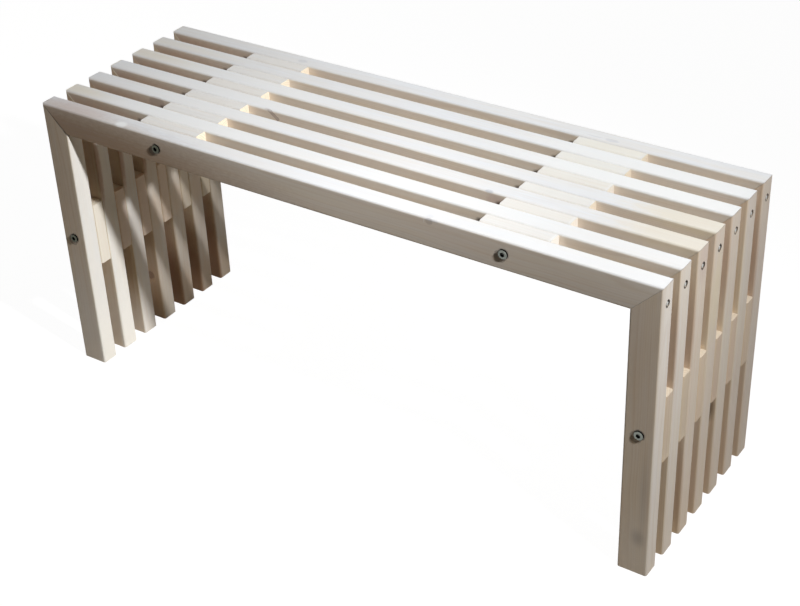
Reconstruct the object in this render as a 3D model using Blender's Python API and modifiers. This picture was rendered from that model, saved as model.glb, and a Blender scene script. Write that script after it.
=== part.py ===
"""Slatted outdoor bench: mitred timber frames side by side, with spacer blocks and bolts through the stack.

Metres, +Z up. X runs along the seat, the front faces -Y and the feet stand on Z = 0.
"""
import math

import bmesh
import bpy

# Overall sizes
BENCH_LENGTH = 1.000
SEAT_HEIGHT = 0.450
FRAME_COUNT = 7

# Planed timber: frames and spacers are cut from stock of one width
STOCK_WIDTH = 0.043
FRAME_THICKNESS = 0.028
SPACER_THICKNESS = 0.0205
SPACER_LENGTH = 0.103
EDGE_RADIUS = 0.003
EDGE_SEGMENTS = 3

# Where the bolts cross the stack: from the middle of the seat, below its top, and above the floor
SEAT_BOLT_OFFSET = 0.2825
SEAT_BOLT_BELOW_TOP = 0.0192
LEG_BOLT_HEIGHT = 0.2264

# How far the middles of the leg spacers lie below their bolt
LEG_SPACER_DROP = 0.0029

# Socket-head bolts, whose heads stand a little proud of the front frame
BOLT_DIAMETER = 0.008
HEAD_DIAMETER = 0.013
HEAD_HEIGHT = 0.008
HEAD_PROUD = 0.0025
HEAD_CHAMFER = 0.0006
SOCKET_WIDTH = 0.006
SOCKET_DEPTH = 0.004

# Nuts and washers, sunk into the back frame
NUT_WIDTH = 0.013
NUT_HEIGHT = 0.0065
WASHER_DIAMETER = 0.016
WASHER_THICKNESS = 0.0016
THREAD_PAST_NUT = 0.0015
BOLT_END_SUNK = 0.002

# Holes of the screws that draw each mitre together
SCREW_HEAD_DIAMETER = 0.0088
SCREW_HEAD_SUNK = 0.006
SCREW_DIAMETER = 0.005
SCREW_LENGTH = 0.080
SCREW_ABOVE_UNDERSIDE = 0.015

# Clearances
JOINT_GAP = 0.0003
BOLT_CLEARANCE = 0.0003
HEAD_CLEARANCE = 0.0006
SPANNER_CLEARANCE = 0.002
CUT_OVERRUN = 0.005
WELD_DISTANCE = 0.00001
ROUND_STEPS = 20

# Values worked out from the sizes above
FRAME_PITCH = FRAME_THICKNESS + SPACER_THICKNESS + 2 * JOINT_GAP
STACK_DEPTH = FRAME_THICKNESS + (FRAME_COUNT - 1) * FRAME_PITCH
FRONT_FACE = (HEAD_PROUD - STACK_DEPTH) / 2
MITRE_SETBACK = JOINT_GAP / math.sqrt(2)
RAIL_HEIGHT = SEAT_HEIGHT - STOCK_WIDTH / 2
LEG_OFFSET = (BENCH_LENGTH - STOCK_WIDTH) / 2
BOLT_HOLE_RADIUS = BOLT_DIAMETER / 2 + BOLT_CLEARANCE

# Depths from the front face of the stack
HEAD_SEAT_DEPTH = HEAD_HEIGHT - HEAD_PROUD + JOINT_GAP
BOLT_END_DEPTH = STACK_DEPTH - BOLT_END_SUNK
NUT_DEPTH = BOLT_END_DEPTH - THREAD_PAST_NUT - NUT_HEIGHT
WASHER_DEPTH = NUT_DEPTH - JOINT_GAP - WASHER_THICKNESS
WASHER_SEAT_DEPTH = WASHER_DEPTH - JOINT_GAP

# Turns: a board stood on end with its long side outwards, and a turned piece laid with its top to the front
UPRIGHT = {"left": (0, -math.pi / 2, 0), "right": (0, -math.pi / 2, math.pi)}
TOP_TO_FRONT = (math.pi / 2, 0, 0)
TOP_OUTWARDS = {"left": (0, -math.pi / 2, 0), "right": (0, math.pi / 2, 0)}
SIDES = {"left": -1, "right": 1}


def clear_scene():
    for thing in list(bpy.data.objects):
        bpy.data.objects.remove(thing, do_unlink=True)


def new_collection(name):
    collection = bpy.data.collections.new(name)
    bpy.context.scene.collection.children.link(collection)
    return collection


def new_material(name, colour, roughness, metallic):
    material = bpy.data.materials.new(name)
    material.use_nodes = True
    shader = material.node_tree.nodes["Principled BSDF"]
    shader.inputs["Base Color"].default_value = (*colour, 1.0)
    shader.inputs["Roughness"].default_value = roughness
    shader.inputs["Metallic"].default_value = metallic
    return material


def place(name, mesh, location, rotation=(0, 0, 0)):
    """A piece of the bench, standing on the bench's own origin."""
    piece = bpy.data.objects.new(name, mesh)
    piece.location = location
    piece.rotation_euler = rotation
    piece.parent = bench
    parts.objects.link(piece)
    return piece


def place_cutter(name, mesh, location, rotation=(0, 0, 0)):
    """A guide shape that only cuts holes."""
    cutter = place(name, mesh, location, rotation)
    parts.objects.unlink(cutter)
    cutters.objects.link(cutter)
    cutter.hide_render = True
    cutter.display_type = "WIRE"
    return cutter


def turn(piece):
    """Spins a piece's profile about its own Z axis."""
    screw = piece.modifiers.new("Turn", "SCREW")
    screw.axis = "Z"
    screw.steps = ROUND_STEPS
    screw.render_steps = ROUND_STEPS
    screw.use_merge_vertices = True
    screw.merge_threshold = WELD_DISTANCE
    screw.use_smooth_shade = True
    return piece


def cut(piece, cutter):
    boolean = piece.modifiers.new("Cut " + cutter.name, "BOOLEAN")
    boolean.operation = "DIFFERENCE"
    boolean.solver = "EXACT"
    boolean.object = cutter


def profile_mesh(name, points, material, closed=False):
    """A profile of (radius, height) points that runs down the outer side of a turned piece."""
    mesh = bpy.data.meshes.new(name)
    edges = [(i, i + 1) for i in range(len(points) - 1)]
    if closed:
        edges.append((len(points) - 1, 0))
    mesh.from_pydata([(radius, 0, height) for radius, height in points], edges, [])
    mesh.materials.append(material)
    return mesh


def stepped_profile(steps):
    """Profile points of cylinders end to end, from a list of (radius, top, bottom)."""
    points = [(0, steps[0][1])]
    for radius, top, bottom in steps:
        points += [(radius, top), (radius, bottom)]
    points.append((0, steps[-1][2]))
    return points


def board_mesh(name, length, thickness, mitred_ends, material):
    """A board along X with its long side up; a mitred end slopes inwards towards the lower side."""
    shape = bmesh.new()
    bmesh.ops.create_cube(shape, size=1.0)
    bmesh.ops.scale(shape, vec=(length, thickness, STOCK_WIDTH), verts=shape.verts)
    rounded = shape.edges.layers.float.new("bevel_weight_edge")
    for edge in shape.edges:
        runs_along = edge.verts[0].co.x * edge.verts[1].co.x < 0
        edge[rounded] = 1.0 if runs_along else 0.0
    for vertex in shape.verts:
        end = math.copysign(1, vertex.co.x)
        if end in mitred_ends:
            slope = STOCK_WIDTH / 2 - vertex.co.z
            vertex.co.x -= end * (slope + MITRE_SETBACK)
    mesh = bpy.data.meshes.new(name)
    shape.to_mesh(mesh)
    shape.free()
    mesh.materials.append(material)
    return mesh


def round_edges(board):
    bevel = board.modifiers.new("Rounded edges", "BEVEL")
    bevel.limit_method = "WEIGHT"
    bevel.width = EDGE_RADIUS
    bevel.segments = EDGE_SEGMENTS
    return board


def hexagon_mesh(name, width, height, material):
    """A hexagonal prism centred on its own origin, with its axis along Z."""
    shape = bmesh.new()
    corner_radius = width / math.sqrt(3)
    bmesh.ops.create_cone(shape, cap_ends=True, segments=6, radius1=corner_radius,
                          radius2=corner_radius, depth=height)
    mesh = bpy.data.meshes.new(name)
    shape.to_mesh(mesh)
    shape.free()
    mesh.materials.append(material)
    return mesh


def frame_middle(index):
    """Y of the middle of a frame, counted from the front."""
    return FRONT_FACE + FRAME_THICKNESS / 2 + index * FRAME_PITCH


def bolt_lines():
    """Name and place in X and Z of each line of bolts, spacers and holes through the stack."""
    lines = {}
    for side, sign in SIDES.items():
        lines[side + "_seat"] = (sign * SEAT_BOLT_OFFSET, SEAT_HEIGHT - SEAT_BOLT_BELOW_TOP)
        lines[side + "_leg"] = (sign * LEG_OFFSET, LEG_BOLT_HEIGHT)
    return lines


def make_bolt_holes():
    """One stepped hole for each bolt line, through every board on it."""
    steps = [(HEAD_DIAMETER / 2 + HEAD_CLEARANCE, CUT_OVERRUN, -HEAD_SEAT_DEPTH),
             (BOLT_HOLE_RADIUS, -HEAD_SEAT_DEPTH, -WASHER_SEAT_DEPTH),
             (WASHER_DIAMETER / 2 + SPANNER_CLEARANCE, -WASHER_SEAT_DEPTH, -STACK_DEPTH - CUT_OVERRUN)]
    mesh = profile_mesh("bolt_hole", stepped_profile(steps), steel)
    holes = {}
    for line, (x, z) in bolt_lines().items():
        holes[line] = turn(place_cutter(line + "_hole", mesh, (x, FRONT_FACE, z), TOP_TO_FRONT))
    return holes


def make_screw_hole_mesh():
    shank_radius = SCREW_DIAMETER / 2 + BOLT_CLEARANCE
    head_radius = SCREW_HEAD_DIAMETER / 2 + BOLT_CLEARANCE
    steps = [(head_radius, CUT_OVERRUN, -SCREW_HEAD_SUNK),
             (shank_radius, -SCREW_HEAD_SUNK, -SCREW_LENGTH)]
    return profile_mesh("screw_hole", stepped_profile(steps), steel)


def make_frames(holes):
    """The portal frames: a seat rail between two legs, with a screw hole across each mitre."""
    rail_mesh = board_mesh("seat_rail", BENCH_LENGTH, FRAME_THICKNESS, (-1, 1), frame_wood)
    leg_mesh = board_mesh("leg", SEAT_HEIGHT, FRAME_THICKNESS, (1,), frame_wood)
    screw_hole_mesh = make_screw_hole_mesh()
    screw_height = SEAT_HEIGHT - STOCK_WIDTH + SCREW_ABOVE_UNDERSIDE
    for index in range(FRAME_COUNT):
        y = frame_middle(index)
        number = str(index + 1)
        rail = round_edges(place("seat_rail_" + number, rail_mesh, (0, y, RAIL_HEIGHT)))
        for side, sign in SIDES.items():
            leg = place(side + "_leg_" + number, leg_mesh, (sign * LEG_OFFSET, y, SEAT_HEIGHT / 2), UPRIGHT[side])
            round_edges(leg)
            outer_face = (sign * BENCH_LENGTH / 2, y, screw_height)
            screw_hole = turn(place_cutter(side + "_screw_hole_" + number, screw_hole_mesh, outer_face,
                                           TOP_OUTWARDS[side]))
            cut(leg, holes[side + "_leg"])
            cut(leg, screw_hole)
            cut(rail, holes[side + "_seat"])
            cut(rail, screw_hole)


def make_spacers(holes):
    """The blocks that hold the frames apart on each bolt line, laid in the seat and stood in the legs."""
    mesh = board_mesh("spacer", SPACER_LENGTH, SPACER_THICKNESS, (), spacer_wood)
    for line, (x, bolt_height) in bolt_lines().items():
        side, row = line.split("_")
        rotation = UPRIGHT[side] if row == "leg" else (0, 0, 0)
        z = bolt_height - LEG_SPACER_DROP if row == "leg" else RAIL_HEIGHT
        for index in range(FRAME_COUNT - 1):
            y = frame_middle(index) + FRAME_PITCH / 2
            spacer = place(line + "_spacer_" + str(index + 1), mesh, (x, y, z), rotation)
            cut(round_edges(spacer), holes[line])


def make_bolts():
    """The socket-head bolts, with their heads at the front."""
    head_radius = HEAD_DIAMETER / 2
    shank_radius = BOLT_DIAMETER / 2
    underside = HEAD_PROUD - HEAD_HEIGHT
    profile = [(0, HEAD_PROUD), (head_radius - HEAD_CHAMFER, HEAD_PROUD), (head_radius, HEAD_PROUD - HEAD_CHAMFER),
               (head_radius, underside), (shank_radius, underside), (shank_radius, -BOLT_END_DEPTH),
               (0, -BOLT_END_DEPTH)]
    mesh = profile_mesh("bolt", profile, steel)
    socket_mesh = hexagon_mesh("bolt_socket", SOCKET_WIDTH, 2 * SOCKET_DEPTH, steel)
    for line, (x, z) in bolt_lines().items():
        bolt = turn(place(line + "_bolt", mesh, (x, FRONT_FACE, z), TOP_TO_FRONT))
        head_face = (x, FRONT_FACE - HEAD_PROUD, z)
        cut(bolt, place_cutter(line + "_socket", socket_mesh, head_face, TOP_TO_FRONT))


def make_nuts_and_washers():
    """A hexagon nut and a washer on the back end of each bolt."""
    nut_mesh = hexagon_mesh("nut", NUT_WIDTH, NUT_HEIGHT, zinc)
    thread = stepped_profile([(BOLT_HOLE_RADIUS, NUT_HEIGHT, -NUT_HEIGHT)])
    thread_mesh = profile_mesh("nut_thread", thread, steel)
    washer_radius = WASHER_DIAMETER / 2
    ring = [(BOLT_HOLE_RADIUS, 0), (washer_radius, 0), (washer_radius, -WASHER_THICKNESS),
            (BOLT_HOLE_RADIUS, -WASHER_THICKNESS)]
    washer_mesh = profile_mesh("washer", ring, zinc, closed=True)
    for line, (x, z) in bolt_lines().items():
        nut_middle = (x, FRONT_FACE + NUT_DEPTH + NUT_HEIGHT / 2, z)
        nut = place(line + "_nut", nut_mesh, nut_middle, TOP_TO_FRONT)
        cut(nut, turn(place_cutter(line + "_nut_thread", thread_mesh, nut_middle, TOP_TO_FRONT)))
        turn(place(line + "_washer", washer_mesh, (x, FRONT_FACE + WASHER_DEPTH, z), TOP_TO_FRONT))


clear_scene()
parts = new_collection("outdoor_bench")
cutters = new_collection("cutters")
frame_wood = new_material("whitewashed_frame_wood", (0.78, 0.73, 0.66), 0.6, 0.0)
spacer_wood = new_material("whitewashed_spacer_wood", (0.80, 0.74, 0.63), 0.6, 0.0)
steel = new_material("satin_steel", (0.45, 0.46, 0.44), 0.35, 1.0)
zinc = new_material("zinc_plate", (0.55, 0.56, 0.56), 0.4, 1.0)
bench = bpy.data.objects.new("bench", None)
parts.objects.link(bench)

bolt_holes = make_bolt_holes()
make_frames(bolt_holes)
make_spacers(bolt_holes)
make_bolts()
make_nuts_and_washers()
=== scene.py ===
"""Looks of a slatted timber bench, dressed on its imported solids.

Whitewashed softwood boards, socket-head bolts, and the screws across the mitred corners,
on a white studio floor, seen from the front right.
"""

import math
import random

import bmesh
import bpy
from mathutils import Matrix, Vector


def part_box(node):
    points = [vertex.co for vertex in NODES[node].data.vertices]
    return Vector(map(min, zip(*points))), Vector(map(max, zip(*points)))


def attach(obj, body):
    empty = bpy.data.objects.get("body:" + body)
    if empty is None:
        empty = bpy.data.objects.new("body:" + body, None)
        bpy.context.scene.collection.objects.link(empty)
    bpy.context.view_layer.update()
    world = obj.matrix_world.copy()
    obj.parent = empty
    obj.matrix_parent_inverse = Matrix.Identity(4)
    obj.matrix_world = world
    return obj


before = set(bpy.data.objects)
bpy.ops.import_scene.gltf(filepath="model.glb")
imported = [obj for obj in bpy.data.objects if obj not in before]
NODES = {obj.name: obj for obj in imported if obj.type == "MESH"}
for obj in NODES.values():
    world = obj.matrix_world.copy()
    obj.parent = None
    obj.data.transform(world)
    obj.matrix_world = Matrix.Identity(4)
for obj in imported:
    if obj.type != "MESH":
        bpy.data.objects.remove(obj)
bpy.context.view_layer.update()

FRAME_COUNT = 7

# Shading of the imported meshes
MERGE_DISTANCE = 1e-6
SHARP_ANGLE = math.radians(40)

# Softwood colours, as linear light
EARLY_WOOD = (0.775, 0.650, 0.480, 1)
LATE_WOOD = (0.580, 0.440, 0.300, 1)
HEART_WOOD = (0.700, 0.515, 0.400, 1)
COOL_WASH = (0.845, 0.868, 0.905, 1)
WARM_WASH = (0.872, 0.870, 0.866, 1)
SAWN_END = (0.930, 0.845, 0.690, 1)
KNOT_WOOD = (0.420, 0.330, 0.300, 1)
KNOT_RIM = (0.270, 0.200, 0.180, 1)
# Painted shade in the screw bores and round the bolt heads, and the painted shadows of the bolt heads
DEEP_SHADE = (0.045, 0.036, 0.030, 1)
# Dark dirt in a mitre joint, and painted shadow beside the seat spacers' left ends
SEAM_DIRT_AND_SHADOW = (0.050, 0.036, 0.028, 1)
# Pale glue along some mitres, and painted light on the lit inner face of the first left leg spacer
GLUE_AND_PAINTED_LIGHT = (0.900, 0.840, 0.700, 1)
# Pale filler, and painted light on the lit inner feet of the left legs
FILLER_AND_PAINTED_LIGHT = (0.940, 0.945, 0.940, 1)
# Painted light: paler feet where the floor lights the legs
PAINTED_FLOOR_LIGHT = (0.830, 0.820, 0.800, 1)
GREY_BROWN = (0.300, 0.255, 0.220, 1)
BLUE_GREY = (0.500, 0.515, 0.570, 1)
SMUDGE = (0.240, 0.220, 0.225, 1)
CREAM = (0.800, 0.690, 0.480, 1)
ROSE = (0.600, 0.470, 0.430, 1)
PLUM = (0.330, 0.250, 0.240, 1)
PALE_CREAM = (0.925, 0.885, 0.745, 1)
# Painted light and shade: a warm tint for shaded inner faces at the left end and for the foot of left leg 4
BLUSH = (0.820, 0.600, 0.420, 1)
# Painted shade: TAN and UMBER darken faces where shade falls
TAN = (0.300, 0.172, 0.085, 1)
UMBER = (0.360, 0.170, 0.075, 1)
RUSSET = (0.400, 0.240, 0.170, 1)
BARK = (0.170, 0.115, 0.075, 1)

# Steel colours
BOLT_STEEL = (0.215, 0.230, 0.205, 1)
# Painted shade: a darker copy of the bolt steel for the bolts at the left end
SHADED_BOLT_STEEL = (0.082, 0.086, 0.064, 1)
BOLT_SIDE = (0.012, 0.012, 0.011, 1)
ZINC = (0.620, 0.630, 0.620, 1)
DULL_ZINC = (0.720, 0.725, 0.700, 1)

# Softwood structure, with lengths in metres
RING_WIDTH = (0.0022, 0.0038)
PITH_DISTANCE = (0.012, 0.070)
GRAIN_SLOPE = 0.012
RING_WARP = 0.0065
KNOT_LIFT = 0.0075
KNOT_DEPTH = 0.013
KNOT_TIP_DEPTH = 1.3 * KNOT_DEPTH
KNOT_RINGS_PER_METRE = 900.0
EDGE_WEAR_WIDTH = 0.0045
RELIEF_HEIGHT = 0.00025
SEED_RANGE = (0, 40)
SEED_SHIFT = (1.7, 2.3, 3.1)

# Noise: lumps per metre along the grain and across it, levels of detail, and where most values lie
WARP_GRAIN = (3.2, 24, 24)
TONE_GRAIN = (4.0, 26, 26)
WASH_GRAIN = (6.0, 60, 60)
STREAK_GRAIN = (11, 210, 210)
FIBRE_GRAIN = (34, 1100, 1100)
KNOT_GRAIN = (160, 260, 260)
MARK_GRAIN = (120, 300, 300)
SEAM_GRAIN = (90, 90, 90)
NOISE_DETAIL = 2.0
FINE_DETAIL = 3.0
NOISE_RANGE = (0.3, 0.7)

# Late wood as shares of a ring's width, and its strength in the palest year
LATE_RISE = (0.35, 0.90)
LATE_FALL = (0.92, 1.00)
PALEST_YEAR = 0.35

# A knot's core, rim and bent grain, as distances from its axis in knot radii
KNOT_CORE_EDGE = (0.55, 1.05)
KNOT_RIM_RISE = (0.65, 0.95)
KNOT_RIM_FALL = (1.00, 1.45)
KNOT_FLOW = (0.60, 4.50)
KNOT_RAGGEDNESS = 0.22
PAST_KNOT = 6.0

# Raggedness of a mark's edge: a share of its firmness, up to a limit
MARK_RAGGEDNESS = 0.15
MOST_RAGGED = 0.12

# Shares of one colour laid on another, and what takes the wash off
LATE_SHARE = 0.36
FIBRE_SHADE = 0.07
KNOT_RING_SHARE = 0.40
KNOT_CORE_SHARE = 0.60
KNOT_RIM_SHARE = 0.68
END_LATE_SHARE = 0.45
END_FIBRE_SHADE = 0.16
END_SHARE = 0.80
STREAK_SPREAD = 0.08
LATE_BARE = 0.07
HEART_BARE = 0.12
RUBBED_SHARE = 0.35
# Painted light: rubbed edges show less where a face is painted paler as lit
RUBBED_LIT_RANGE = (0.10, 0.50)
RUBBED_WHERE_LIT = 0.25

# Roughness and relief of the wood
WOOD_ROUGHNESS = (0.46, 0.58)
RUBBED_POLISH = 0.08
END_ROUGHNESS = 0.25
LATE_RELIEF = 0.35
FIBRE_RELIEF = 0.55
KNOT_RELIEF = 0.40
RELIEF_STRENGTH = 0.5
WOOD_SPECULAR = 0.15

# How far a normal turns sideways, up or along the grain before its face counts as facing that way
FACING_SIDE = (0.20, 0.80)
FACING_UP = (0.05, 0.60)
FACING_END = (0.80, 0.95)

# Steel structure and finish
STEEL_WEAR_GRAIN = (420, 420, 420)
STEEL_FINE_GRAIN = (3000, 3000, 3000)
STEEL_DULL_SHARE = 0.72
STEEL_POLISH = 0.07
STEEL_TARNISH = 0.10
STEEL_FINE_RELIEF = 0.3
STEEL_RELIEF_STRENGTH = 0.4
STEEL_RELIEF_HEIGHT = 0.0002
KNURL_RIDGES = 24.0
KNURL_RISE = 3600.0
KNURL_SIDE = (0.30, 0.60)
ZINC_ROUGHNESS = 0.34
BOLT_ROUGHNESS = 0.42
DULL_ZINC_ROUGHNESS = 0.50
DULL_ZINC_METALLIC = 0.40

# Boards and the holes of their corner screws, in metres
STOCK_WIDTH = 0.043
SCREW_ABOVE_UNDERSIDE = 0.015
SCREW_RECESS_DEPTH = 0.006

# Corner screws, with lengths in metres and their turn from one to the next in radians
SCREW_LENGTH = 0.072
SCREW_HEAD_RADIUS = 0.0031
SCREW_HEAD_HEIGHT = 0.0056
SCREW_HEAD_CHAMFER = 0.0002
SCREW_SEAT_SHARE = 0.95
SCREW_CORE_RADIUS = 0.0017
SCREW_THREAD_RADIUS = 0.0025
SCREW_THREAD_PITCH = 0.0022
SCREW_RIDGE_SHARE = 0.28
SCREW_PLAIN_LENGTH = 0.026
SCREW_PLAIN_SHARE = 0.92
SCREW_NECK_LENGTH = 0.0006
SCREW_TIP_LENGTH = 0.007
SCREW_DRIVE_RADIUS = 0.0010
SCREW_DRIVE_LOBE = 0.0002
SCREW_DRIVE_LOBES = 6
SCREW_DRIVE_DEPTH = 0.0008
SCREW_SPIN = 0.4
SCREW_SIDES = 36
SCREW_STEPS_PER_TURN = 6

# The dome of a screw's head: share of its radius, and depth below its top
SCREW_DOME = ((0.55, 0.0001), (0.74, 0.0004), (0.89, 0.0010), (0.97, 0.0017), (1.00, 0.0025))

# Camera, at the photograph's viewing angle
IMAGE_WIDTH = 800
CAMERA_TARGET = Vector((0.0121, 0.0, 0.1796))
CAMERA_AZIMUTH = math.radians(34.967)
CAMERA_ELEVATION = math.radians(33.004)
CAMERA_ROLL = math.radians(-2.472)
CAMERA_DISTANCE = 2.3655
FOCAL_LENGTH_PIXELS = 1608.5
SENSOR_WIDTH = 36.0

# Lights
KEY_PLACE = Vector((1.55, -0.524, 1.66))
KEY_RADIUS = 0.055
KEY_BLEND = 1.0
KEY_BEAMS = (
    ("key_front", Vector((-0.50, -0.25, 0.25)), math.radians(30), 50.0),
    ("key_back", Vector((-0.55, 0.15, 0.30)), math.radians(24), 42.0),
    ("key_foot", Vector((-0.48, -0.12, 0.10)), math.radians(20), 14.5),
    ("key_toe", Vector((-0.46, -0.11, 0.02)), math.radians(9), 21.0),
    ("key_spill", Vector((-0.80, -0.15, -0.30)), math.radians(60), 132.0),
)
KEY_COLOUR = (1.0, 1.0, 1.0)
SOFTBOX_PLACE = Vector((0.12, 0.50, 0.78))
SOFTBOX_TARGET = Vector((0.12, 0.12, 0.45))
SOFTBOX_LENGTH = 1.2
SOFTBOX_WIDTH = 0.25
SOFTBOX_POWER = 1.50
SOFTBOX_COLOUR = (0.94, 0.98, 1.0)
TOP_LIGHT_PLACE = Vector((0.55, 0.10, 1.25))
TOP_LIGHT_TARGET = Vector((0.45, 0.05, 0.45))
TOP_LIGHT_SIZE = 0.5
TOP_LIGHT_POWER = 1.10
TOP_LIGHT_COLOUR = (0.97, 0.99, 1.0)
SIDE_FILL_PLACE = Vector((1.90, 0.00, 0.60))
SIDE_FILL_TARGET = Vector((0.50, 0.00, 0.25))
SIDE_FILL_SIZE = 1.0
SIDE_FILL_POWER = 0.4
SIDE_FILL_COLOUR = (1.0, 0.98, 0.96)
BACK_FILL_PLACE = Vector((-1.9, 1.9, 0.8))
BACK_FILL_TARGET = Vector((0.0, 0.1, 0.2))
BACK_FILL_SIZE = 1.6
BACK_FILL_POWER = 4.5
BACK_FILL_COLOUR = (1.0, 0.97, 0.93)
FILL_COLOUR = (1.0, 0.84, 0.60, 1)
FILL_STRENGTH = 0.01

# Floor and backdrop
FLOOR_SIZE = 12.0
FLOOR_COLOUR = (0.52, 0.43, 0.32, 1)
FLOOR_GLOW = 0.97
FLOOR_SHARE_OF_LIGHT = 0.15
BACKDROP_COLOUR = (1, 1, 1, 1)


class Graph:
    """A node tree, with short calls to add nodes and wire them."""

    def __init__(self, tree):
        self.tree = tree

    def add(self, kind, **settings):
        node = self.tree.nodes.new(kind)
        for name, value in settings.items():
            setattr(node, name, value)
        return node

    def feed(self, socket, value):
        """Links a socket to another one, or sets its own value."""
        if isinstance(value, bpy.types.NodeSocket):
            self.tree.links.new(value, socket)
        else:
            socket.default_value = value

    def math(self, operation, a, b=0.0, clamp=False):
        node = self.add("ShaderNodeMath", operation=operation, use_clamp=clamp)
        self.feed(node.inputs[0], a)
        self.feed(node.inputs[1], b)
        return node.outputs[0]

    def vector(self, operation, a, b=(0.0, 0.0, 0.0), output="Vector"):
        node = self.add("ShaderNodeVectorMath", operation=operation)
        self.feed(node.inputs[0], a)
        self.feed(node.inputs[1], b)
        return node.outputs[output]

    def scaled(self, vector, factor):
        node = self.add("ShaderNodeVectorMath", operation="SCALE")
        self.feed(node.inputs[0], vector)
        self.feed(node.inputs["Scale"], factor)
        return node.outputs["Vector"]

    def split(self, vector):
        node = self.add("ShaderNodeSeparateXYZ")
        self.feed(node.inputs[0], vector)
        return node.outputs

    def remap(self, interpolation, value, low, high, to_low, to_high):
        """A value between low and high, brought to the range from to_low to to_high."""
        node = self.add("ShaderNodeMapRange", interpolation_type=interpolation)
        for name, part in (("Value", value), ("From Min", low), ("From Max", high),
                           ("To Min", to_low), ("To Max", to_high)):
            self.feed(node.inputs[name], part)
        return node.outputs["Result"]

    def step(self, value, low, high, to_low=0.0, to_high=1.0):
        """A smooth step from to_low at low to to_high at high."""
        return self.remap("SMOOTHSTEP", value, low, high, to_low, to_high)

    def spread(self, value, to_low, to_high):
        """A noise value brought evenly to the range from to_low to to_high."""
        return self.remap("LINEAR", value, *NOISE_RANGE, to_low, to_high)

    def noise(self, vector, stretch, detail=NOISE_DETAIL):
        """Noise whose number of lumps per metre along each axis is stretch."""
        node = self.add("ShaderNodeTexNoise")
        self.feed(node.inputs["Vector"], self.vector("MULTIPLY", vector, stretch))
        self.feed(node.inputs["Scale"], 1.0)
        self.feed(node.inputs["Detail"], detail)
        return node.outputs["Fac"]

    def mix(self, factor, a, b, blend="MIX"):
        node = self.add("ShaderNodeMix", data_type="RGBA", blend_type=blend)
        self.feed(node.inputs["Factor"], factor)
        colour_in = [s for s in node.inputs if s.type == "RGBA"]
        self.feed(colour_in[0], a)
        self.feed(colour_in[1], b)
        return [s for s in node.outputs if s.type == "RGBA"][0]


def new_group(name, inputs, outputs):
    """An empty shader group with the named sockets; returns its graph, inputs and output node."""
    tree = bpy.data.node_groups.new(name, "ShaderNodeTree")
    for socket_name, kind in inputs:
        tree.interface.new_socket(socket_name, in_out="INPUT", socket_type="NodeSocket" + kind)
    for socket_name, kind in outputs:
        tree.interface.new_socket(socket_name, in_out="OUTPUT", socket_type="NodeSocket" + kind)
    graph = Graph(tree)
    return graph, graph.add("NodeGroupInput").outputs, graph.add("NodeGroupOutput").inputs


def use_group(graph, tree, **values):
    """A group node's outputs; its inputs are fed by name, with underscores for spaces."""
    node = graph.add("ShaderNodeGroup", node_tree=tree)
    for name, value in values.items():
        graph.feed(node.inputs[name.replace("_", " ")], value)
    return node.outputs


def new_material(name):
    """A material with an empty tree, its graph and its Principled shader."""
    material = bpy.data.materials.new(name)
    material.use_nodes = True
    material.node_tree.nodes.clear()
    graph = Graph(material.node_tree)
    shader = graph.add("ShaderNodeBsdfPrincipled")
    output = graph.add("ShaderNodeOutputMaterial")
    graph.feed(output.inputs["Surface"], shader.outputs["BSDF"])
    return material, graph, shader


def add_bump(graph, shader, height, strength, distance):
    """Bumps a shader's surface by a height, at a strength and over a distance in metres."""
    bump = graph.add("ShaderNodeBump")
    graph.feed(bump.inputs["Height"], height)
    graph.feed(bump.inputs["Strength"], strength)
    graph.feed(bump.inputs["Distance"], distance)
    graph.feed(shader.inputs["Normal"], bump.outputs["Normal"])


def make_knot_group():
    """Where a branch ran through the board: a core, a dark rim and grain that flows round it."""
    graph, given, result = new_group(
        "knot",
        [("Vector", "Vector"), ("Centre", "Vector"), ("Direction", "Vector"), ("Radius", "Float")],
        [("Core", "Float"), ("Rim", "Float"), ("Lift", "Float")])
    away = graph.vector("SUBTRACT", given["Vector"], given["Centre"])
    across = graph.vector("CROSS_PRODUCT", away, given["Direction"])
    distance = graph.math("DIVIDE", graph.vector("LENGTH", across, output="Value"), given["Radius"])
    ragged = graph.noise(given["Vector"], KNOT_GRAIN)
    distance = graph.math("ADD", distance, graph.spread(ragged, -KNOT_RAGGEDNESS, KNOT_RAGGEDNESS))
    depth = graph.math("ABSOLUTE", graph.vector("DOT_PRODUCT", away, given["Direction"], output="Value"))
    distance = graph.math("ADD", distance, graph.step(depth, KNOT_DEPTH, KNOT_TIP_DEPTH, 0.0, PAST_KNOT))
    graph.feed(result["Core"], graph.step(distance, *KNOT_CORE_EDGE, 1.0, 0.0))
    inner = graph.step(distance, *KNOT_RIM_RISE)
    outer = graph.step(distance, *KNOT_RIM_FALL, 1.0, 0.0)
    graph.feed(result["Rim"], graph.math("MULTIPLY", inner, outer))
    graph.feed(result["Lift"], graph.step(distance, *KNOT_FLOW, KNOT_LIFT, 0.0))
    return graph.tree


def make_mark_group():
    """A mark in the surface: full within a share of its reach along each axis, and fading out to it."""
    graph, given, result = new_group(
        "mark", [("Vector", "Vector"), ("Centre", "Vector"), ("Reach", "Vector"), ("Firm", "Float")],
        [("Cover", "Float")])
    away = graph.vector("SUBTRACT", given["Vector"], given["Centre"])
    distance = graph.vector("LENGTH", graph.vector("DIVIDE", away, given["Reach"]), output="Value")
    ragged = graph.spread(graph.noise(given["Vector"], MARK_GRAIN, FINE_DETAIL), -1.0, 1.0)
    raggedness = graph.math("MINIMUM", graph.math("MULTIPLY", given["Firm"], MARK_RAGGEDNESS), MOST_RAGGED)
    distance = graph.math("ADD", distance, graph.math("MULTIPLY", ragged, raggedness))
    graph.feed(result["Cover"], graph.step(distance, given["Firm"], 1.0, 1.0, 0.0))
    return graph.tree


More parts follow.
